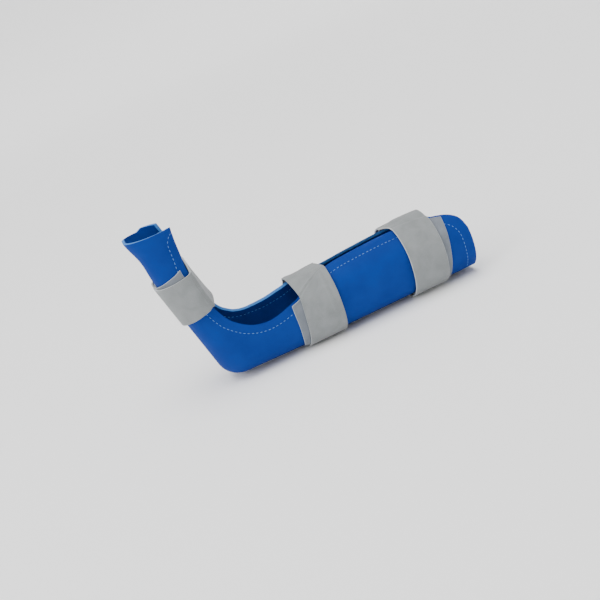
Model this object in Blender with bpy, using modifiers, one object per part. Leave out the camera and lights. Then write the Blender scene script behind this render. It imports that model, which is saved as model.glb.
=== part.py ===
# Leg splint: an open foam trough for the foot and calf, closed by three wrap straps.
# Each strap is two layers: a landing band round the underside, and an upper band
# that comes up the far wall, bridges the opening and laps down the near wall.
# It lies as it rests: calf on the surface, foot up, opening to the top.
# Metres, +Z up, +X from heel to knee, -Y the near wall. A station is a distance from
# the heel corner along the underside: minus up the sole, plus along the calf.

import math
from collections import namedtuple

import bmesh
import bpy
from mathutils import Vector

# Driving sizes
footLength = 0.244
legLength = 0.394
ankleAngle = math.radians(103.3)
heelRadius = 0.032
shellDepth = 0.097
shellHalf = 0.057
undersideHalf = 0.016
soleHollow = 0.003
shellWall = 0.004
strapWidth = 0.060
landingWall = 0.0016
strapWall = 0.0024
layerGap = 0.0006
landingDrop = 0.0045  # from the shell's rim down to a landing's end, on average
strapEndHalf = 0.008  # half of the space between a strap's two ends, underneath
toeLip = 0.0042  # how far the far wall's upper part stands past the toe end
toeLipRun = 0.027  # length of shell over which it grows to that

# The shell's sections. at: station, share of the foot's or the leg's length. lean: how
# far the section leans to the knee, share of the ankle's turn. depth and belly: rim
# and widest place above the underside, shares of shellDepth. half and tuck: half
# width and the upper arc's half width, shares of shellHalf. flat: share of
# undersideHalf. wrap: the upper arc's angle, share of a right angle. far: the far
# rim's height, share of the near rim's.
Section = namedtuple("Section", "at lean depth belly half tuck flat wrap far")
sections = (
    Section(-1.00, 1.19, 0.68, 0.33, 0.67, 0.42, 0.80, 0.69, 0.83),
    Section(-0.89, 1.10, 0.575, 0.33, 0.68, 0.42, 0.80, 0.64, 0.92),
    Section(-0.79, 1.02, 0.53, 0.31, 0.70, 0.39, 0.80, 0.61, 0.98),
    Section(-0.70, 1.00, 0.485, 0.29, 0.72, 0.35, 0.80, 0.58, 1.03),
    Section(-0.57, 1.00, 0.455, 0.28, 0.74, 0.32, 0.80, 0.50, 1.05),
    Section(-0.43, 0.99, 0.455, 0.29, 0.75, 0.28, 0.70, 0.42, 1.03),
    Section(-0.31, 0.926, 0.515, 0.32, 0.77, 0.25, 0.60, 0.40, 1.02),
    Section(-0.18, 0.754, 0.654, 0.36, 0.79, 0.21, 0.50, 0.38, 1.018),
    Section(-0.10, 0.661, 0.766, 0.39, 0.80, 0.21, 0.40, 0.38, 1.037),
    Section(0.00, 0.564, 0.846, 0.41, 0.81, 0.21, 0.35, 0.38, 1.062),
    Section(0.064, 0.469, 0.82, 0.41, 0.82, 0.21, 0.40, 0.38, 1.09),
    Section(0.13, 0.353, 0.74, 0.40, 0.83, 0.21, 0.55, 0.38, 1.10),
    Section(0.20, 0.218, 0.717, 0.40, 0.84, 0.21, 0.75, 0.38, 1.067),
    Section(0.27, 0.097, 0.746, 0.42, 0.85, 0.25, 0.95, 0.40, 1.027),
    Section(0.325, 0.019, 0.787, 0.44, 0.87, 0.36, 1.00, 0.48, 1.005),
    Section(0.39, 0.00, 0.885, 0.47, 0.91, 0.62, 1.00, 0.65, 0.985),
    Section(0.47, 0.00, 0.965, 0.50, 0.955, 0.84, 1.00, 0.81, 0.95),
    Section(0.59, 0.00, 1.00, 0.51, 0.98, 0.92, 1.00, 0.85, 0.965),
    Section(0.735, 0.00, 1.02, 0.52, 1.00, 0.93, 1.00, 0.85, 0.97),
    Section(0.875, 0.00, 0.995, 0.52, 1.00, 0.93, 1.00, 0.80, 0.97),
    Section(0.945, 0.00, 0.955, 0.515, 1.00, 0.92, 1.00, 0.68, 0.87),
    Section(0.975, 0.00, 0.905, 0.51, 1.00, 0.92, 1.00, 0.55, 0.81),
    Section(0.992, 0.00, 0.825, 0.51, 1.00, 0.92, 1.00, 0.42, 0.78),
    Section(1.00, 0.00, 0.695, 0.51, 1.00, 0.92, 1.00, 0.24, 0.80),
)

# The straps' bands. layer: 0 is a landing on the shell, 1 goes over it and across the
# opening. at: middle underneath, share of the foot's or the leg's length. width:
# share of strapWidth. toeSide and kneeSide: how far that edge has moved along the
# shell at the near rim and at the far rim, shares of strapWidth.
Band = namedtuple("Band", "name layer at width toeSide kneeSide")
bands = (
    Band("foot_landing", 0, -0.564, 1.08, (-0.075, 0.00), (0.00, 0.00)),
    Band("foot_strap", 1, -0.566, 1.07, (0.11, -0.05), (-0.02, -0.03)),
    Band("ankle_landing", 0, 0.378, 1.07, (-0.13, 0.00), (0.00, 0.00)),
    Band("ankle_strap", 1, 0.383, 0.97, (0.15, 0.13), (0.08, 0.03)),
    Band("calf_landing", 0, 0.811, 0.88, (0.13, 0.00), (0.36, 0.00)),
    Band("calf_strap", 1, 0.805, 0.90, (0.10, -0.03), (0.10, 0.02)),
)
# How far below the rim each landing ends, as a share of landingDrop
drops = {"foot_landing": 1.15, "ankle_landing": 0.6, "calf_landing": 1.35}
# Each strap's way over the opening. near and far: how far it runs on from each wall, as a
# share of the opening. crease: how far it turns over at the near rim, 1 is straight
# across. knee: how much fuller it is at its knee edge than at its middle.
Bridge = namedtuple("Bridge", "near far crease knee")
bridges = {
    "foot_strap": Bridge(0.12, 0.12, 0.80, 0.50),
    "ankle_strap": Bridge(0.10, 0.12, 0.70, -0.70),
    "calf_strap": Bridge(0.44, 0.45, 0.10, 0.26),
}

# Mesh steps. A turn runs round a section from 0, the underside's middle, to 1, the rim,
# and every piece has its corners at the same turns.
sectionSteps = 2
bandSteps = 6
halfTurns = 14
bridgeSteps = 8
flatTurn = 2 / halfTurns  # where the flat underside ends
bellyTurn = 8 / halfTurns  # the widest place
lipStart = 7 / halfTurns  # where the far wall's toe lip starts
squeezeTurn = 10 / halfTurns  # from here on a landing's steps are fitted to its end
wallSteps = halfTurns - 1  # steps of a strap from its end to the rim
rimShare = wallSteps / (2 * wallSteps + bridgeSteps)  # share of a strap's run up to the rim
probe = 0.0005  # step that a face's direction is measured over

ankleTurn = math.pi - ankleAngle
soleRun = Vector((math.cos(ankleAngle), 0, math.sin(ankleAngle)))
soleInward = Vector((math.sin(ankleAngle), 0, -math.cos(ankleAngle)))
heelTangent = heelRadius / math.tan(ankleAngle / 2)
restHeight = landingWall + strapWall + 2 * layerGap
middleX = (legLength + footLength * soleRun.x) / 2


def clearScene():
    for thing in list(bpy.data.objects):
        bpy.data.objects.remove(thing, do_unlink=True)


def stationOf(share):
    return share * (footLength if share < 0 else legLength)


# Smooth curve through values at rising stops
def blend(stops, values, place):
    last = len(stops) - 1
    index = max(0, min(last - 1, sum(stop <= place for stop in stops) - 1))
    width = stops[index + 1] - stops[index]
    along = (place - stops[index]) / width

    def slope(middle):
        low, high = max(0, middle - 1), min(last, middle + 1)
        return (values[high] - values[low]) / (stops[high] - stops[low]) * width

    square, cube = along ** 2, along ** 3
    start = (2 * cube - 3 * square + 1) * values[index] + (cube - 2 * square + along) * slope(index)
    end = (3 * square - 2 * cube) * values[index + 1] + (cube - square) * slope(index + 1)
    return start + end


stations = [stationOf(section.at) for section in sections]


# The underside's middle line: sole, heel arc and calf
def underside(station):
    if station <= -heelTangent:
        start = -0.72 * footLength
        along = max(0.0, (start - station) / (footLength + start))
        return soleRun * -station + soleInward * soleHollow * math.sin(math.pi * along) ** 2
    if station >= heelTangent:
        return Vector((station, 0, 0))
    angle = ankleTurn * (station - heelTangent) / (2 * heelTangent)
    centre = Vector((heelTangent, 0, heelRadius))
    return centre + heelRadius * Vector((math.sin(angle), 0, -math.cos(angle)))


# The near rim is one smooth curve in side view, through these places
def rimPlace(section):
    lean = ankleTurn * section.lean
    up = Vector((math.sin(lean), 0, math.cos(lean)))
    return underside(stationOf(section.at)) + up * section.depth * shellDepth


rims = [rimPlace(section) for section in sections]
columns = [[rim.x for rim in rims], [rim.z for rim in rims]] + list(zip(*sections))[3:]


# One half of a section at a turn from 0, the underside's middle, to 1, the rim
def halfSection(shape, turn, depth):
    belly, half, tuck, flat, wrap = shape
    belly *= shellDepth
    half *= shellHalf
    flat *= undersideHalf
    if turn < flatTurn:
        return flat * turn / flatTurn, 0.0
    if turn < bellyTurn:
        angle = math.pi / 2 * (turn - flatTurn) / (bellyTurn - flatTurn)
        side = flat + (half - flat) * math.sin(angle)
        return side, belly * (1 - math.cos(angle))
    wrap *= math.pi / 2
    angle = wrap * (turn - bellyTurn) / (1 - bellyTurn)
    side = half - tuck * shellHalf * (1 - math.cos(angle))
    return side, belly + (depth - belly) * math.sin(angle) / math.sin(wrap)


# A point of the shell's outer face: turn 1 is the near rim, -1 the far rim
def skin(station, turn):
    rimX, rimZ, *shape, far = (blend(stations, column, station) for column in columns)
    low = underside(station)
    rise = Vector((rimX, 0, rimZ)) - low
    depth = rise.length * (far if turn < 0 else 1)
    side, height = halfSection(shape, abs(turn), depth)
    return low + rise.normalized() * height + Vector((0, -math.copysign(side, turn), 0))


def turnRun(station, turn):
    low, high = max(-1, turn - 0.01), min(1, turn + 0.01)
    return (skin(station, high) - skin(station, low)).normalized()


# The same point, raised off the face
def above(station, turn, rise):
    alongShell = skin(station + probe, turn) - skin(station - probe, turn)
    return skin(station, turn) + turnRun(station, turn).cross(alongShell).normalized() * -rise


# A station across a band, from its toe side to its knee side
def bandStation(band, across, toeShift, kneeShift):
    toeSide = stationOf(band.at) + (toeShift - band.width / 2) * strapWidth
    kneeSide = stationOf(band.at) + (kneeShift + band.width / 2) * strapWidth
    return toeSide + (kneeSide - toeSide) * across


# Across and along are shares of the piece's width and run, from 0 to 1
def shellPoint(across, along):
    index = min(int(across * (len(stations) - 1)), len(stations) - 2)
    share = across * (len(stations) - 1) - index
    station = stations[index] * (1 - share) + stations[index + 1] * share
    turn = 2 * along - 1
    lip = max(0, 1 - (station + footLength) / toeLipRun)
    lip *= min(1, max(0, (-turn - lipStart) / (bellyTurn - lipStart)))
    return skin(station - toeLip * lip, turn)


# A landing runs under the shell from just below the far rim to just below the near rim
def landingPoint(band, across, along):
    stops = (0, 0.5, 1)
    toeShift = blend(stops, (band.toeSide[1], 0, band.toeSide[0]), along)
    kneeShift = blend(stops, (band.kneeSide[1], 0, band.kneeSide[0]), along)
    station = bandStation(band, across, toeShift, kneeShift)
    turnLength = (skin(station, 1) - skin(station, bellyTurn)).length / (1 - bellyTurn)
    lastTurn = 1 - drops[band.name] * landingDrop / turnLength
    turn = 2 * along - 1
    if abs(turn) > squeezeTurn:
        share = (abs(turn) - squeezeTurn) / (1 - squeezeTurn)
        turn = math.copysign(squeezeTurn + (lastTurn - squeezeTurn) * share, turn)
    return above(station, turn, layerGap)


# A strap runs from underneath up the near wall, over the opening and down the far wall
def strapPoint(band, across, along):
    stops = (0, rimShare, 1 - rimShare, 1)
    toeShift = blend(stops, (0, *band.toeSide, 0), along)
    kneeShift = blend(stops, (0, *band.kneeSide, 0), along)
    station = bandStation(band, across, toeShift, kneeShift)
    rise = 2 * layerGap + landingWall
    endTurn = flatTurn * strapEndHalf / undersideHalf
    if along <= rimShare:
        return above(station, endTurn + (1 - endTurn) * along / rimShare, rise)
    if along >= 1 - rimShare:
        return above(station, -endTurn - (1 - endTurn) * (1 - along) / rimShare, rise)
    bridge = bridges[band.name]
    near, far = above(station, 1, rise), above(station, -1, rise)
    reach = (far - near) * (1 + bridge.knee * (2 * across - 1))
    nearRun = turnRun(station, 1).lerp(reach.normalized(), bridge.crease).normalized()
    nearHandle = near + nearRun * bridge.near * reach.length
    farHandle = far - turnRun(station, -1) * bridge.far * reach.length
    share = (along - rimShare) / (1 - 2 * rimShare)
    rest = 1 - share
    return (
        near * rest ** 3
        + nearHandle * 3 * rest ** 2 * share
        + farHandle * 3 * rest * share ** 2
        + far * share ** 3
    )


def addMaterial(name, colour, roughness):
    material = bpy.data.materials.new(name)
    material.use_nodes = True
    shader = material.node_tree.nodes["Principled BSDF"]
    shader.inputs["Base Color"].default_value = (*colour, 1)
    shader.inputs["Roughness"].default_value = roughness
    shader.inputs["Metallic"].default_value = 0
    return material


# A sheet bent to a shape, with its thickness put on inwards or outwards
def addSheet(name, steps, point, wall, side, material):
    work = bmesh.new()
    bmesh.ops.create_grid(work, x_segments=steps[0], y_segments=steps[1], size=0.5)
    for vertex in work.verts:
        vertex.co = point(vertex.co.x + 0.5, vertex.co.y + 0.5)
    mesh = bpy.data.meshes.new(name)
    work.to_mesh(mesh)
    work.free()
    mesh.materials.append(material)
    mesh.shade_smooth()
    piece = bpy.data.objects.new(name, mesh)
    thicken = piece.modifiers.new("wall", "SOLIDIFY")
    thicken.thickness = wall
    thicken.offset = side
    thicken.use_even_offset = True
    return piece


def buildShell():
    foam = addMaterial("foam", (0.010, 0.105, 0.386), 0.6)
    steps = (sectionSteps * (len(sections) - 1), 2 * halfTurns)
    return addSheet("splint_shell", steps, shellPoint, shellWall, -1, foam)


def buildBand(band):
    loop = addMaterial(band.name, (0.287, 0.305, 0.309), 0.9)
    if band.layer == 0:
        shape, turns, wall = landingPoint, 2 * halfTurns, landingWall
    else:
        shape, turns, wall = strapPoint, 2 * wallSteps + bridgeSteps, strapWall

    def bandPoint(across, along):
        return shape(band, across, along)

    return addSheet(band.name, (bandSteps, turns), bandPoint, wall, 1, loop)


def build():
    clearScene()
    home = bpy.data.collections.new("leg_splint")
    bpy.context.scene.collection.children.link(home)
    frame = bpy.data.objects.new("splint_frame", None)
    frame.location = (-middleX, 0, restHeight)
    home.objects.link(frame)
    for piece in [buildShell()] + [buildBand(band) for band in bands]:
        home.objects.link(piece)
        piece.parent = frame


build()
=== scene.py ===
import functools
import math

import bmesh
import bpy
import numpy as np
from mathutils import Matrix, Vector, kdtree, noise


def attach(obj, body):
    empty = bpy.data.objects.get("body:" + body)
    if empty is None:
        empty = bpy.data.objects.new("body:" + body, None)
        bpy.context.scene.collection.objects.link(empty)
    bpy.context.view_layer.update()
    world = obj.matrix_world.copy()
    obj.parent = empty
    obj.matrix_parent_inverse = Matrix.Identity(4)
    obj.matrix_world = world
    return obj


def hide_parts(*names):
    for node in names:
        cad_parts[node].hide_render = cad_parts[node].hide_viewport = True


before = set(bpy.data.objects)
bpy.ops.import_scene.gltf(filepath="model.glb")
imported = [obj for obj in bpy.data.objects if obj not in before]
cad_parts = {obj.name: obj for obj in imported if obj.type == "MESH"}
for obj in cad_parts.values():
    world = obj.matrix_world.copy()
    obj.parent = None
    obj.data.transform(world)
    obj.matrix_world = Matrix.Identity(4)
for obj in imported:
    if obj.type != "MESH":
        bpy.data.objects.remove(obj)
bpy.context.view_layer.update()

# The looks of an open foam leg splint with three wrap straps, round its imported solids.
# Metres, +Z up, +X from heel to knee, -Y the near wall. A station is a distance from the
# heel corner along the underside: minus up the sole, plus along the calf. A turn runs
# round a section: 1 is the near rim, 0 the underside's middle, -1 the far rim.

millimetre = 0.001

# The trough's form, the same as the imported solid's
trough = {
    "foot": 0.244,
    "leg": 0.394,
    "ankle": math.radians(103.3),
    "heelRadius": 0.032,
    "depth": 0.097,
    "half": 0.057,
    "underside": 0.016,
    "soleHollow": 0.003,
    "hollowStart": 0.72,  # share of the foot, from the heel corner
    "wall": 0.004,
    "flatTurn": 2 / 14,
    "bellyTurn": 8 / 14,
    "toeLip": 4.2 * millimetre,  # how far the far wall's upper part stands past the toe
    "toeLipRun": 27 * millimetre,
    "lipStart": 7 / 14,
    # at, lean, depth, belly, half, tuck, flat, wrap, far, a row for each section
    "sections": (
        (-1.00, 1.19, 0.68, 0.33, 0.67, 0.42, 0.80, 0.69, 0.83),
        (-0.89, 1.10, 0.575, 0.33, 0.68, 0.42, 0.80, 0.64, 0.92),
        (-0.79, 1.02, 0.53, 0.31, 0.70, 0.39, 0.80, 0.61, 0.98),
        (-0.70, 1.00, 0.485, 0.29, 0.72, 0.35, 0.80, 0.58, 1.03),
        (-0.57, 1.00, 0.455, 0.28, 0.74, 0.32, 0.80, 0.50, 1.05),
        (-0.43, 0.99, 0.455, 0.29, 0.75, 0.28, 0.70, 0.42, 1.03),
        (-0.31, 0.926, 0.515, 0.32, 0.77, 0.25, 0.60, 0.40, 1.02),
        (-0.18, 0.754, 0.654, 0.36, 0.79, 0.21, 0.50, 0.38, 1.018),
        (-0.10, 0.661, 0.766, 0.39, 0.80, 0.21, 0.40, 0.38, 1.037),
        (0.00, 0.564, 0.846, 0.41, 0.81, 0.21, 0.35, 0.38, 1.062),
        (0.064, 0.469, 0.82, 0.41, 0.82, 0.21, 0.40, 0.38, 1.09),
        (0.13, 0.353, 0.74, 0.40, 0.83, 0.21, 0.55, 0.38, 1.10),
        (0.20, 0.218, 0.717, 0.40, 0.84, 0.21, 0.75, 0.38, 1.067),
        (0.27, 0.097, 0.746, 0.42, 0.85, 0.25, 0.95, 0.40, 1.027),
        (0.325, 0.019, 0.787, 0.44, 0.87, 0.36, 1.00, 0.48, 1.005),
        (0.39, 0.00, 0.885, 0.47, 0.91, 0.62, 1.00, 0.65, 0.985),
        (0.47, 0.00, 0.965, 0.50, 0.955, 0.84, 1.00, 0.81, 0.95),
        (0.59, 0.00, 1.00, 0.51, 0.98, 0.92, 1.00, 0.85, 0.965),
        (0.735, 0.00, 1.02, 0.52, 1.00, 0.93, 1.00, 0.85, 0.97),
        (0.875, 0.00, 0.995, 0.52, 1.00, 0.93, 1.00, 0.80, 0.97),
        (0.945, 0.00, 0.955, 0.515, 1.00, 0.92, 1.00, 0.68, 0.87),
        (0.975, 0.00, 0.905, 0.51, 1.00, 0.92, 1.00, 0.55, 0.81),
        (0.992, 0.00, 0.825, 0.51, 1.00, 0.92, 1.00, 0.42, 0.78),
        (1.00, 0.00, 0.695, 0.51, 1.00, 0.92, 1.00, 0.24, 0.80),
    ),
}

# The wrap bands' common sizes
bandMake = {
    "width": 0.060,
    "landingWall": 1.6 * millimetre,
    "strapWall": 2.4 * millimetre,
    "gap": 0.6 * millimetre,  # between one layer and the next
    "rimGap": 0.9 * millimetre,  # between a strap and the trough's rim
    "stepDown": (4.6 * millimetre, 1.2 * millimetre),  # below the rim, where it comes down
    "endHalf": 8 * millimetre,  # half of the space between a strap's two ends
    "wallShare": 13 / 34,  # share of a strap's run up to the rim
    "steps": ((18, 102), (36, 204)),  # across and along, of a landing and of a strap
    "edgeRound": 0.5 * millimetre,
    "waver": 0.4 * millimetre,  # how far its cut edges wander
    "waverSteps": (9, 7.3, 40),  # noise along a band, from edge to edge and from band to band
    "swell": 0.35 * millimetre,  # how far its slow humps stand out
    "swellWidth": 22 * millimetre,
    "flatEnd": 0.12,  # share of a strap's run that stays plain at each end
    "flatFade": 0.08,
}

ankleTurn = math.pi - trough["ankle"]
soleRun = Vector((math.cos(trough["ankle"]), 0, math.sin(trough["ankle"])))
soleInward = Vector((math.sin(trough["ankle"]), 0, -math.cos(trough["ankle"])))
heelTangent = trough["heelRadius"] / math.tan(trough["ankle"] / 2)
restHeight = bandMake["landingWall"] + bandMake["strapWall"] + 2 * bandMake["gap"]
framePlace = Vector((-(trough["leg"] + trough["foot"] * soleRun.x) / 2, 0, restHeight))
overLanding = 2 * bandMake["gap"] + bandMake["landingWall"]


def stationOf(share):
    return share * (trough["foot"] if share < 0 else trough["leg"])


# A smooth curve through the rows of a table at rising stops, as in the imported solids
@functools.lru_cache(maxsize=None)
def curveThrough(stops, rows):
    rows = np.array(rows, dtype=float)
    last = len(stops) - 1
    slopes = []
    for i in range(last + 1):
        low, high = max(0, i - 1), min(last, i + 1)
        slopes.append((rows[high] - rows[low]) / (stops[high] - stops[low]))

    def at(place):
        i = min(max(int(np.searchsorted(stops, place)) - 1, 0), last - 1)
        width = stops[i + 1] - stops[i]
        a = (place - stops[i]) / width
        square, cube = a ** 2, a ** 3
        start = (2 * cube - 3 * square + 1) * rows[i]
        start += (cube - 2 * square + a) * slopes[i] * width
        end = (3 * square - 2 * cube) * rows[i + 1] + (cube - square) * slopes[i + 1] * width
        return start + end

    return at


# The underside's middle line: sole, heel arc and calf
def underside(station):
    if station <= -heelTangent:
        start = -trough["hollowStart"] * trough["foot"]
        along = max(0.0, (start - station) / (trough["foot"] + start))
        hollow = trough["soleHollow"] * math.sin(math.pi * along) ** 2
        return soleRun * -station + soleInward * hollow
    if station >= heelTangent:
        return Vector((station, 0, 0))
    angle = ankleTurn * (station - heelTangent) / (2 * heelTangent)
    centre = Vector((heelTangent, 0, trough["heelRadius"]))
    return centre + trough["heelRadius"] * Vector((math.sin(angle), 0, -math.cos(angle)))


# The near rim is one smooth curve, so the rows' leans and depths are blended as its places
def rimPlace(row):
    angle = ankleTurn * row[1]
    rim = underside(stationOf(row[0]))
    rim += Vector((math.sin(angle), 0, math.cos(angle))) * row[2] * trough["depth"]
    return rim.x, rim.z


sectionStops = tuple(stationOf(row[0]) for row in trough["sections"])
sectionRows = tuple((*rimPlace(row), *row[3:]) for row in trough["sections"])
sectionCurve = curveThrough(sectionStops, sectionRows)


@functools.lru_cache(maxsize=None)
def sectionAt(station):
    rimX, rimZ, *shape = (float(value) for value in sectionCurve(station))
    rise = Vector((rimX, 0, rimZ)) - underside(station)
    return rise.normalized(), rise.length, *shape


# A point of the trough's outer face
def skin(station, turn):
    up, depth, belly, half, tuck, flat, wrap, far = sectionAt(station)
    depth *= far if turn < 0 else 1
    belly *= trough["depth"]
    half *= trough["half"]
    flat *= trough["underside"]
    size = abs(turn)
    if size < trough["flatTurn"]:
        side, height = flat * size / trough["flatTurn"], 0.0
    elif size < trough["bellyTurn"]:
        angle = (size - trough["flatTurn"]) / (trough["bellyTurn"] - trough["flatTurn"])
        angle *= math.pi / 2
        side = flat + (half - flat) * math.sin(angle)
        height = belly * (1 - math.cos(angle))
    else:
        full = math.pi / 2 * wrap
        angle = full * (size - trough["bellyTurn"]) / (1 - trough["bellyTurn"])
        side = half - tuck * trough["half"] * (1 - math.cos(angle))
        height = belly + (depth - belly) * math.sin(angle) / math.sin(full)
    across = Vector((0, -math.copysign(side, turn), 0))
    return framePlace + underside(station) + up * height + across


# The same with the toe lip, where the far wall's upper part runs on a little
def troughPoint(station, turn):
    lip = max(0, 1 - (station + trough["foot"]) / trough["toeLipRun"])
    climb = (-turn - trough["lipStart"]) / (trough["bellyTurn"] - trough["lipStart"])
    lip *= min(1, max(0, climb))
    return skin(station - trough["toeLip"] * lip, turn)


turnProbe = 0.01
stationProbe = 0.5 * millimetre


# The direction in which turns rise, along the section
def turnRun(station, turn):
    low, high = max(-1, turn - turnProbe), min(1, turn + turnProbe)
    return (skin(station, high) - skin(station, low)).normalized()


def outward(station, turn):
    alongShell = skin(station + stationProbe, turn) - skin(station - stationProbe, turn)
    return -turnRun(station, turn).cross(alongShell).normalized()


def above(station, turn, rise):
    return skin(station, turn) + outward(station, turn) * rise


# How far a soft face stands out or goes in at a point, in slow waves
def swellAt(point, make):
    return make["swell"] * (0.5 + 0.5 * noise.noise(point / make["swellWidth"]))


rimTurns = np.linspace(1, 0, 61)


@functools.lru_cache(maxsize=None)
def runBelowRim(station, side):
    places = [skin(station, side * turn) for turn in rimTurns]
    return np.cumsum([0] + [(b - a).length for a, b in zip(places, places[1:])])


# The turn that lies a surface distance below a rim, from a run worked out every 0.5 mm
def turnBelowRim(station, side, inset):
    nearby = round(station / millimetre * 2) * millimetre / 2
    return float(np.interp(inset, runBelowRim(nearby, side), rimTurns))


def linear(hexColour):
    parts = [int(hexColour[i:i + 2], 16) / 255 for i in (1, 3, 5)]
    return (*(p / 12.92 if p <= 0.04045 else ((p + 0.055) / 1.055) ** 2.4 for p in parts), 1)


# Adds a node: a setting is an input's value, one of the node's own values, a ramp's stops
# or, as a pair of node and output, a link
def addNode(material, kind, **settings):
    made = material.node_tree.nodes.new(kind)
    for name, value in settings.items():
        sockets = [s for s in made.inputs if s.enabled and s.name == name.replace("_", " ")]
        if name == "stops":
            for element, (position, colour) in zip(made.color_ramp.elements, value):
                element.position = position
                element.color = colour
        elif not sockets:
            setattr(made, name, value)
        elif isinstance(value, tuple) and isinstance(value[0], bpy.types.Node):
            output = next(s for s in value[0].outputs if s.enabled and s.name == value[1])
            material.node_tree.links.new(output, sockets[0])
        else:
            sockets[0].default_value = value
    return made


def newMaterial(name):
    material = bpy.data.materials.new(name)
    material.use_nodes = True
    material.node_tree.nodes.clear()
    return material


def finishMaterial(material, colour, height, depth, **shader):
    bump = addNode(material, "ShaderNodeBump", Height=height, Distance=depth, Strength=1.0)
    surface = addNode(material, "ShaderNodeBsdfPrincipled", Base_Color=colour,
                      Normal=(bump, "Normal"), **shader)
    addNode(material, "ShaderNodeOutputMaterial", Surface=(surface, "BSDF"))
    return material


def colourStops(low, high, start=0.3, end=0.7):
    return (start, linear(low)), (end, linear(high))


def greyStops(low, high):
    return (0.3, (low, low, low, 1)), (0.7, (high, high, high, 1))


# Cross-linked polyethylene foam with its moulded skin: even satin blue, faintly clouded,
# with a fine pebble that breaks up the gloss
def foamSkin():
    material = newMaterial("cross_linked_foam_skin")
    place = addNode(material, "ShaderNodeTexCoord")
    cloud = addNode(material, "ShaderNodeTexNoise", Vector=(place, "Object"),
                    Scale=1 / (38 * millimetre), Detail=3.0, Roughness=0.55)
    fleck = addNode(material, "ShaderNodeTexNoise", Vector=(place, "Object"),
                    Scale=1 / (2.4 * millimetre), Detail=3.0, Roughness=0.6)
    # The pebble is really about 0.3 mm: drawn coarser, so that it shows
    pebble = addNode(material, "ShaderNodeTexNoise", Vector=(place, "Object"),
                     Scale=1 / (1.1 * millimetre), Detail=2.0, Roughness=0.5)
    tone = addNode(material, "ShaderNodeValToRGB", Fac=(cloud, "Fac"),
                   stops=colourStops("#0b2f7c", "#0e3788", 0.28, 0.72))
    light = addNode(material, "ShaderNodeValToRGB", Fac=(fleck, "Fac"),
                    stops=greyStops(0.93, 1.0))
    colour = addNode(material, "ShaderNodeMix", data_type="RGBA", blend_type="MULTIPLY",
                     Factor=1.0, A=(tone, "Color"), B=(light, "Color"))
    gloss = addNode(material, "ShaderNodeValToRGB", Fac=(fleck, "Fac"),
                    stops=greyStops(0.58, 0.68))
    return finishMaterial(material, (colour, "Result"), (pebble, "Fac"), 0.05 * millimetre,
                          Roughness=(gloss, "Color"), IOR=1.47, Specular_IOR_Level=0.08)


# The same foam cut through: paler, matt, its cells open
def foamCut():
    material = newMaterial("cut_closed_cell_foam")
    place = addNode(material, "ShaderNodeTexCoord")
    # Cells are really 0.2 to 0.4 mm: drawn coarser, so that they show
    cells = addNode(material, "ShaderNodeTexVoronoi", Vector=(place, "Object"),
                    Scale=1 / (0.9 * millimetre))
    tone = addNode(material, "ShaderNodeValToRGB", Fac=(cells, "Distance"),
                   stops=colourStops("#2560a6", "#3a7cc2", 0.1, 0.8))
    return finishMaterial(material, (tone, "Color"), (cells, "Distance"), 0.12 * millimetre,
                          Roughness=0.8)


# Brushed nylon loop cloth on foam: soft grey nap that scatters light at its edges, with
# fine ribs along the band and slow light and dark patches where the nap lies over
def loopCloth(name, low, high):
    material = newMaterial(name)
    place = addNode(material, "ShaderNodeUVMap", uv_map="cloth")
    # Loops stand about 0.5 mm apart: drawn wider, so that they show
    stretched = addNode(material, "ShaderNodeMapping", Vector=(place, "UV"), Scale=(1, 0.45, 1))
    loops = addNode(material, "ShaderNodeTexNoise", Vector=(stretched, "Vector"),
                    Scale=1 / (0.8 * millimetre), Detail=3.0, Roughness=0.65)
    lie = addNode(material, "ShaderNodeTexNoise", Vector=(place, "UV"),
                  Scale=1 / (19 * millimetre), Detail=4.0, Roughness=0.55, Distortion=0.6)
    tone = addNode(material, "ShaderNodeValToRGB", Fac=(lie, "Fac"),
                   stops=colourStops(low, high, 0.28, 0.72))
    light = addNode(material, "ShaderNodeValToRGB", Fac=(loops, "Fac"),
                    stops=greyStops(0.86, 1.0))
    colour = addNode(material, "ShaderNodeMix", data_type="RGBA", blend_type="MULTIPLY",
                     Factor=1.0, A=(tone, "Color"), B=(light, "Color"))
    return finishMaterial(material, (colour, "Result"), (loops, "Fac"), 0.28 * millimetre,
                          Roughness=0.92, Sheen_Weight=0.18, Sheen_Roughness=0.45)


# The cloth's cut edge: pale polyurethane foam core, dry and open
def bandCut(name, low, high):
    material = newMaterial(name)
    place = addNode(material, "ShaderNodeTexCoord")
    cells = addNode(material, "ShaderNodeTexNoise", Vector=(place, "Object"),
                    Scale=1 / (0.9 * millimetre), Detail=2.0)
    tone = addNode(material, "ShaderNodeValToRGB", Fac=(cells, "Fac"),
                   stops=colourStops(low, high))
    return finishMaterial(material, (tone, "Color"), (cells, "Fac"), 0.15 * millimetre,
                          Roughness=0.9)


# Twisted polyester thread: paler than the foam, with a slight gleam
def polyesterThread():
    material = newMaterial("polyester_thread")
    place = addNode(material, "ShaderNodeTexCoord")
    twist = addNode(material, "ShaderNodeTexNoise", Vector=(place, "Object"),
                    Scale=1 / (0.5 * millimetre), Detail=1.0)
    tone = addNode(material, "ShaderNodeValToRGB", Fac=(twist, "Fac"),
                   stops=colourStops("#3971b6", "#6093cb"))
    return finishMaterial(material, (tone, "Color"), (twist, "Fac"), 0.04 * millimetre,
                          Roughness=0.45)


def asPiece(mesh, name):
    data = bpy.data.meshes.new(name)
    mesh.to_mesh(data)
    mesh.free()
    piece = bpy.data.objects.new(name, data)
    bpy.context.scene.collection.objects.link(piece)
    piece.data.shade_smooth()
    return piece


# Rounds the cut edges and leaves them in the second material, so that they show pale
def roundEdges(piece, width):
    edge = piece.modifiers.new("edge", "BEVEL")
    edge.width = width
    edge.segments = 2
    edge.limit_method = "ANGLE"
    edge.angle_limit = math.radians(50)
    edge.material = 1


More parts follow.
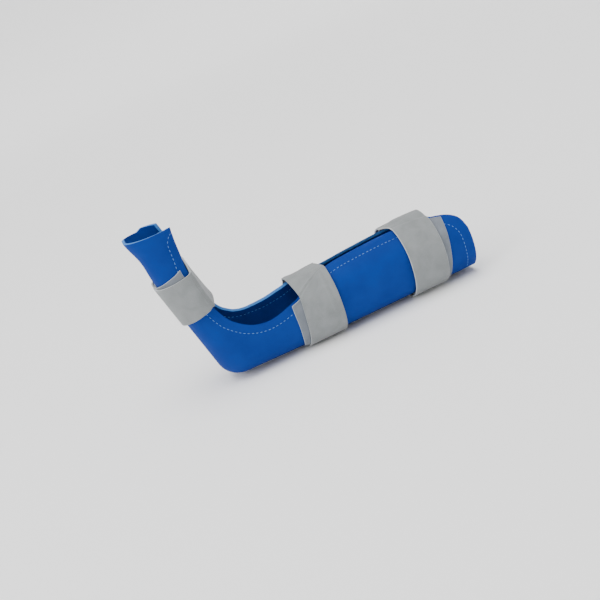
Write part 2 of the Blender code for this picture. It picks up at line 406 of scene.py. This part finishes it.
# Gives a sheet its wall, with the second material on the cut edge
def giveWall(piece, wall, edgeRound, materials):
    for material in materials:
        piece.data.materials.append(material)
    solid = piece.modifiers.new("wall", "SOLIDIFY")
    solid.thickness = wall
    solid.offset = 1
    solid.use_even_offset = True
    solid.material_offset_rim = 1
    roundEdges(piece, edgeRound)


# The rim's stitch line. rows: share of the foot or the leg, and mm from the rim
seamMake = {
    "name": "rim_stitching",
    "pitch": 6.0 * millimetre,
    "stitch": 3.9 * millimetre,
    "thread": 0.95 * millimetre,
    "raised": 0.12 * millimetre,  # how far a stitch's middle is above the pulled-in foam
    "dent": 0.45 * millimetre,  # how far the line pulls the foam in
    "dentWidth": 1.5 * millimetre,
    "points": (900, 300),  # along a rim, and across the underside at the knee end
    "rows": (
        (-0.957, 0.5), (-0.948, 5.0), (-0.935, 9.0), (-0.912, 12.5), (-0.88, 14.5),
        (-0.80, 14.5), (-0.57, 14.5), (-0.30, 13.5), (0.00, 13.0), (0.20, 13.5),
        (0.325, 14.5), (0.40, 16.0), (0.50, 17.5), (0.70, 19.0), (0.86, 18.5),
        (0.925, 19.5), (0.950, 24.0), (0.9625, 32.0), (0.9645, 43.0), (0.9645, 60.0),
    ),
}


# The stitch line from the near toe corner round the knee end to the far toe corner, as
# places and outward directions
def seamLine():
    rows = [(stationOf(share), inset * millimetre) for share, inset in seamMake["rows"]]
    run = np.cumsum([0] + [math.dist(a, b) for a, b in zip(rows, rows[1:])])
    curve = curveThrough(tuple(run), tuple(rows))
    near, far = [], []
    alongPoints, underPoints = seamMake["points"]
    for place in np.linspace(0, run[-1], alongPoints):
        station, inset = curve(place)
        for side, line in ((1, near), (-1, far)):
            turn = side * turnBelowRim(station, side, inset)
            line.append((skin(station, turn), outward(station, turn)))
    end = rows[-1][0]
    firstTurn, lastTurn = (side * turnBelowRim(end, side, rows[-1][1]) for side in (1, -1))
    under = [(skin(end, turn), outward(end, turn))
             for turn in np.linspace(firstTurn, lastTurn, underPoints)[1:-1]]
    return near + under + far[::-1]


# The foam trough: a skinned sheet 4 mm thick, its rim cut slanting, lower on the inside
shellMake = {
    "name": "foam_trough",
    "alongStep": 1.9 * millimetre,
    "turnSteps": 88,
    "swell": 0.35 * millimetre,  # how far its slow dents go in
    "swellWidth": 42 * millimetre,
    "slant": 2.4 * millimetre,  # how much lower the cut's inner side is
    "edgeRound": 0.8 * millimetre,
}


# One face of the trough. Its stations are rounded, so that each section is kept once found
def shellGrid(mesh, places, pointAt):
    shares = np.linspace(0, 1, len(places))
    made = bmesh.ops.create_grid(mesh, x_segments=len(places) - 1,
                                 y_segments=shellMake["turnSteps"], size=0.5)["verts"]
    for vertex in made:
        station = round(float(np.interp(vertex.co.x + 0.5, shares, places)), 7)
        vertex.co = pointAt(station, 2 * vertex.co.y)
    return made


# The stitches pull both faces in, and slow dents take them inwards together
def buildShell(seam):
    places = [sectionStops[0]]
    for low, high in zip(sectionStops, sectionStops[1:]):
        steps = max(3, round((high - low) / shellMake["alongStep"]))
        places.extend(np.linspace(low, high, steps + 1)[1:])
    tree = kdtree.KDTree(len(seam))
    for i, (point, _) in enumerate(seam):
        tree.insert(point, i)
    tree.balance()

    def pulled(point):
        away = tree.find(point)[2]
        return seamMake["dent"] * math.exp(-(away / seamMake["dentWidth"]) ** 2)

    def outerPoint(station, turn):
        point = troughPoint(station, turn)
        sunk = swellAt(point, shellMake) + pulled(point)
        return point - outward(station, turn) * sunk

    def innerPoint(station, turn):
        turn *= turnBelowRim(station, 1, shellMake["slant"])
        point = troughPoint(station, turn)
        sunk = trough["wall"] + swellAt(point, shellMake) - pulled(point)
        return point - outward(station, turn) * sunk

    mesh = bmesh.new()
    outer = shellGrid(mesh, places, outerPoint)
    rim = [edge for edge in mesh.edges if edge.is_boundary]
    inner = shellGrid(mesh, places, innerPoint)
    pairs = dict(zip(outer, inner))
    for edge in rim:
        a, b = edge.verts
        mesh.faces.new((a, b, pairs[b], pairs[a])).material_index = 1
    bmesh.ops.recalc_face_normals(mesh, faces=mesh.faces)
    piece = asPiece(mesh, shellMake["name"])
    for material in (foamSkin(), foamCut()):
        piece.data.materials.append(material)
    roundEdges(piece, shellMake["edgeRound"])
    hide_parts("splint_shell")
    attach(piece, "root")


# Each stitch is a low bead, outside and inside the wall
def buildSeam(seam):
    run = np.cumsum([0] + [(b[0] - a[0]).length for a, b in zip(seam, seam[1:])])
    sunk = seamMake["dent"] - seamMake["raised"]
    mesh = bmesh.new()
    for place in np.arange(seamMake["stitch"], run[-1] - seamMake["stitch"], seamMake["pitch"]):
        i = int(np.searchsorted(run, place))
        point, out = seam[i]
        along = (seam[min(i + 2, len(seam) - 1)][0] - seam[max(i - 2, 0)][0]).normalized()
        across = out.cross(along).normalized()
        turned = Matrix((along, across, out)).transposed().to_4x4()
        size = Matrix.Diagonal((seamMake["stitch"], seamMake["thread"], seamMake["thread"], 1))
        swell = swellAt(point, shellMake)
        for depth in (-sunk, sunk - trough["wall"]):
            centre = Matrix.Translation(point + out * (depth - swell))
            bmesh.ops.create_uvsphere(mesh, u_segments=6, v_segments=4, radius=0.5,
                                      matrix=centre @ turned @ size)
    piece = asPiece(mesh, seamMake["name"])
    piece.data.materials.append(polyesterThread())
    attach(piece, "root")


# The bands. layer 0 lies on the trough, layer 1 goes over it and across the opening.
# toeSide and kneeSide: how far that edge moves along the trough at the near and the far
# rim, shares of the width. drop: mm from the near rim down to a landing's end, at its toe
# and its knee edge. bridge: how far a strap runs on from each wall, as a share of the
# opening, how far it turns over at the near rim, and how much fuller its knee edge is.
# folds are soft lines in mm from the toe edge and from the near rim on: x, y, x, y,
# height, width.
bands = (
    {"node": "foot_landing", "layer": 0, "at": -0.564, "width": 1.08, "drop": (11.5, 5.5),
     "toeSide": (-0.10, 0.00)},
    {"node": "foot_strap", "layer": 1, "at": -0.566, "width": 1.07, "toeSide": (0.11, -0.05),
     "kneeSide": (-0.02, -0.03), "bridge": (0.12, 0.12, 0.80, 0.50),
     "folds": ((4, -3.0, 62, -3.5, -0.9, 1.3), (10, 1.5, 62, 1.5, 1.0, 3.0))},
    {"node": "ankle_landing", "layer": 0, "at": 0.378, "width": 1.07, "drop": (3.0, 6.0),
     "toeSide": (-0.13, 0.00)},
    {"node": "ankle_strap", "layer": 1, "at": 0.383, "width": 0.97, "toeSide": (0.15, 0.13),
     "kneeSide": (0.08, 0.03), "bridge": (0.08, 0.12, 0.92, -0.70),
     "folds": ((45, -8, 47, -60, 1.0, 2.0), (4, 0, 54, 0, 0.9, 1.6),
               (50, 6, 52, -22, -0.8, 3.5), (2, 28, 4, 62, 2.0, 10.0))},
    {"node": "calf_landing", "layer": 0, "at": 0.811, "width": 0.88, "drop": (6.0, 6.0),
     "toeSide": (0.13, 0.00), "kneeSide": (0.36, 0.00)},
    {"node": "calf_strap", "layer": 1, "at": 0.805, "width": 0.90, "toeSide": (0.10, -0.03),
     "kneeSide": (0.10, 0.02), "bridge": (0.44, 0.45, 0.10, 0.26),
     "folds": ((0, 4, 54, 6, 0.6, 6.0), (20, -20, 24, -80, 0.3, 9.0),
               (22, 24, 54, 22, 4.2, 15.0))},
)


# A station across a band, from its toe edge to its knee edge. At each stop along the band,
# near and far say how much of the edges' moves at that rim has been taken
def bandStation(band, across, stops, near, far, along):
    alongStep, sideStep, bandStep = bandMake["waverSteps"]
    middle = stationOf(band["at"])
    edges = []
    for name, side in (("toeSide", -1), ("kneeSide", 1)):
        nearMove, farMove = band.get(name, (0, 0))
        moves = tuple((n * nearMove + f * farMove,) for n, f in zip(near, far))
        shift = float(curveThrough(stops, moves)(along)[0])
        waver = noise.noise(Vector((along * alongStep, side * sideStep, middle * bandStep)))
        edges.append(shift * bandMake["width"] + waver * bandMake["waver"])
    half = band["width"] / 2 * bandMake["width"]
    return middle - half + edges[0] + (2 * half + edges[1] - edges[0]) * across


# A landing runs from just below the far rim, underneath, to just below the near rim
def landingPoint(band, across, along):
    station = bandStation(band, across, (0.0, 0.5, 1.0), (0, 0, 1), (1, 0, 0), along)
    toeDrop, kneeDrop = band["drop"]
    drop = (toeDrop + (kneeDrop - toeDrop) * across) * millimetre
    turn = (2 * along - 1) * turnBelowRim(station, 1, drop)
    return above(station, turn, bandMake["gap"])


# The height of a band's folds, at a share of its width and a distance past the near rim
def foldHeight(band, across, fromRim):
    place = Vector((across * band["width"] * bandMake["width"], fromRim)) / millimetre
    height = 0
    for x0, y0, x1, y1, tall, wide in band.get("folds", ()):
        start, end = Vector((x0, y0)), Vector((x1, y1))
        run = end - start
        share = min(1, max(0, (place - start).dot(run) / run.length_squared))
        height += tall * math.exp(-((place - start - run * share).length / wide) ** 2)
    return height * millimetre


# How far a strap's inner face is above the trough: over its landing, then down past the
# landing's end to just above the rim
def strapRise(station, turn):
    last, end = (turnBelowRim(station, 1, inset) for inset in bandMake["stepDown"])
    share = min(1, max(0, (abs(turn) - last) / (end - last)))
    share = share * share * (3 - 2 * share)
    return overLanding + (bandMake["rimGap"] - overLanding) * share


# A strap runs from underneath up the near wall, over the opening and down the far wall
def strapPoint(band, across, along):
    rim = bandMake["wallShare"]
    stops = (0.0, rim, 1 - rim, 1.0)
    station = bandStation(band, across, stops, (0, 1, 0, 0), (0, 0, 1, 0), along)
    endTurn = trough["flatTurn"] * bandMake["endHalf"] / trough["underside"]
    if along <= rim:
        turn = endTurn + (1 - endTurn) * along / rim
        return above(station, turn, strapRise(station, turn))
    if along >= 1 - rim:
        turn = -endTurn - (1 - endTurn) * (1 - along) / rim
        return above(station, turn, strapRise(station, turn))
    nearFull, farFull, crease, kneeFull = band["bridge"]
    near, far = (above(station, side, bandMake["rimGap"]) for side in (1, -1))
    reach = (far - near) * (1 + kneeFull * (2 * across - 1))
    nearRun = turnRun(station, 1).lerp(reach.normalized(), crease).normalized()
    nearHandle = near + nearRun * nearFull * reach.length
    farHandle = far - turnRun(station, -1) * farFull * reach.length
    share = (along - rim) / (1 - 2 * rim)
    rest = 1 - share
    return (near * rest ** 3 + nearHandle * 3 * rest ** 2 * share
            + farHandle * 3 * rest * share ** 2 + far * share ** 3)


def buildBand(band):
    isStrap = band["layer"] == 1
    wall = bandMake["strapWall" if isStrap else "landingWall"]
    pointAt = strapPoint if isStrap else landingPoint
    across, along = bandMake["steps"][band["layer"]]
    mesh = bmesh.new()
    bmesh.ops.create_grid(mesh, x_segments=across, y_segments=along, size=0.5)
    mesh.verts.index_update()
    places = {}
    for vertex in mesh.verts:
        shares = vertex.co.x + 0.5, vertex.co.y + 0.5
        places[vertex.index] = shares
        vertex.co = pointAt(band, *shares)
    middle = [pointAt(band, 0.5, i / along) for i in range(along + 1)]
    run = np.cumsum([0] + [(b - a).length for a, b in zip(middle, middle[1:])])
    stops = np.linspace(0, 1, along + 1)
    width = band["width"] * bandMake["width"]
    cloth = mesh.loops.layers.uv.new("cloth")
    for face in mesh.faces:
        for loop in face.loops:
            u, v = places[loop.vert.index]
            loop[cloth].uv = (u * width, float(np.interp(v, stops, run)))
    if isStrap:
        mesh.normal_update()
        rimRun = float(np.interp(bandMake["wallShare"], stops, run))
        lifts = {}
        for vertex in mesh.verts:
            u, v = places[vertex.index]
            fromRim = float(np.interp(v, stops, run)) - rimRun
            lift = swellAt(vertex.co, bandMake) + foldHeight(band, u, fromRim)
            grown = (min(v, 1 - v) - bandMake["flatEnd"]) / bandMake["flatFade"]
            lifts[vertex] = lift * min(1, max(0, grown))
        for vertex, lift in lifts.items():
            vertex.co += vertex.normal * lift
    piece = asPiece(mesh, band["node"] + "_cloth")
    if isStrap:
        materials = (loopCloth("brushed_loop_strap", "#7a7e7f", "#888c8d"),
                     bandCut("strap_foam_core", "#a9adad", "#c0c3c2"))
    else:
        materials = (loopCloth("brushed_loop_landing", "#676d75", "#767c85"),
                     bandCut("landing_foam_core", "#98a1a9", "#abb5bb"))
    giveWall(piece, wall, bandMake["edgeRound"], materials)
    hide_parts(band["node"])
    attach(piece, "root")


seam = seamLine()
print("splint: stitch line ready")
buildShell(seam)
buildSeam(seam)
print("splint: trough and stitching ready")
for band in bands:
    buildBand(band)
print("splint: bands ready")


# The picture's view: from above the near side, turned a little to the toe, the camera
# rolled so that the calf runs up to the right
view = {
    "place": Vector((-0.2239, -1.2221, 0.4646)),
    "azimuth": math.radians(-9),
    "elevation": math.radians(18),
    "roll": math.radians(22.4),
    "lens": 54.21,
}


def addCamera():
    azimuth, elevation, roll = view["azimuth"], view["elevation"], view["roll"]
    back = Vector((math.sin(azimuth) * math.cos(elevation),
                   -math.cos(azimuth) * math.cos(elevation), math.sin(elevation)))
    level = Vector((math.cos(azimuth), math.sin(azimuth), 0))
    upward = back.cross(level)
    right = level * math.cos(roll) - upward * math.sin(roll)
    up = level * math.sin(roll) + upward * math.cos(roll)
    data = bpy.data.cameras.new("view")
    data.lens = view["lens"]
    data.sensor_width = 36
    data.clip_end = 100
    camera = bpy.data.objects.new("view", data)
    turned = Matrix((right, up, back)).transposed().to_4x4()
    camera.matrix_world = Matrix.Translation(view["place"]) @ turned
    bpy.context.scene.collection.objects.link(camera)
    bpy.context.scene.camera = camera


# A wide pale floor that curves up far away, so that no horizon shows
studio = {
    "reach": 18.0,
    "curve": 8.0,
    "rise": 12.0,
    "floor": "#fbfbfb",
    "world": ("#ffffff", 0.30),
    # A broad overhead light, the same all over the floor: direction, spread, strength
    "overhead": (Vector((-0.16, -0.10, 1)), math.radians(60), 3.8),
    # place, aimed at, width, power
    "left": (Vector((-2.2, -1.3, 1.6)), Vector((0, 0, 0.08)), 1.5, 30),
}


def placeLamp(light, place, backward):
    lamp = bpy.data.objects.new(light.name, light)
    turned = backward.to_track_quat("Z", "Y").to_matrix().to_4x4()
    lamp.matrix_world = Matrix.Translation(place) @ turned
    bpy.context.scene.collection.objects.link(lamp)


def addFloor():
    mesh = bmesh.new()
    bmesh.ops.create_circle(mesh, cap_ends=False, segments=72,
                            radius=studio["reach"] - studio["curve"])
    centre = mesh.verts.new((0, 0, 0))
    ring = list(mesh.edges)
    for edge in ring:
        mesh.faces.new((edge.verts[0], edge.verts[1], centre))
    steps = 8
    for i in range(1, steps + 1):
        angle = math.pi / 2 * i / steps
        grown = bmesh.ops.extrude_edge_only(mesh, edges=ring)["geom"]
        radius = studio["reach"] - studio["curve"] * (1 - math.sin(angle))
        height = studio["curve"] * (1 - math.cos(angle))
        for vertex in (part for part in grown if isinstance(part, bmesh.types.BMVert)):
            flat = Vector((vertex.co.x, vertex.co.y, 0)).normalized() * radius
            vertex.co = (flat.x, flat.y, height)
        ring = [part for part in grown if isinstance(part, bmesh.types.BMEdge)]
    grown = bmesh.ops.extrude_edge_only(mesh, edges=ring)["geom"]
    for vertex in (part for part in grown if isinstance(part, bmesh.types.BMVert)):
        vertex.co.z = studio["rise"]
    bmesh.ops.recalc_face_normals(mesh, faces=mesh.faces)
    floor = asPiece(mesh, "studio_floor")
    material = newMaterial("pale_studio_paper")
    surface = addNode(material, "ShaderNodeBsdfPrincipled", Base_Color=linear(studio["floor"]),
                      Roughness=0.9)
    addNode(material, "ShaderNodeOutputMaterial", Surface=(surface, "BSDF"))
    floor.data.materials.append(material)


def addLight():
    direction, spread, strength = studio["overhead"]
    overhead = bpy.data.lights.new("overhead", "SUN")
    overhead.angle = spread
    overhead.energy = strength
    placeLamp(overhead, direction, direction)
    place, aim, width, power = studio["left"]
    left = bpy.data.lights.new("left", "AREA")
    left.shape = "DISK"
    left.size = width
    left.energy = power
    placeLamp(left, place, place - aim)
    world = bpy.data.worlds.new("studio")
    world.use_nodes = True
    background = world.node_tree.nodes["Background"]
    background.inputs["Color"].default_value = linear(studio["world"][0])
    background.inputs["Strength"].default_value = studio["world"][1]
    bpy.context.scene.world = world


addCamera()
addFloor()
addLight()
print("splint: view and studio ready")
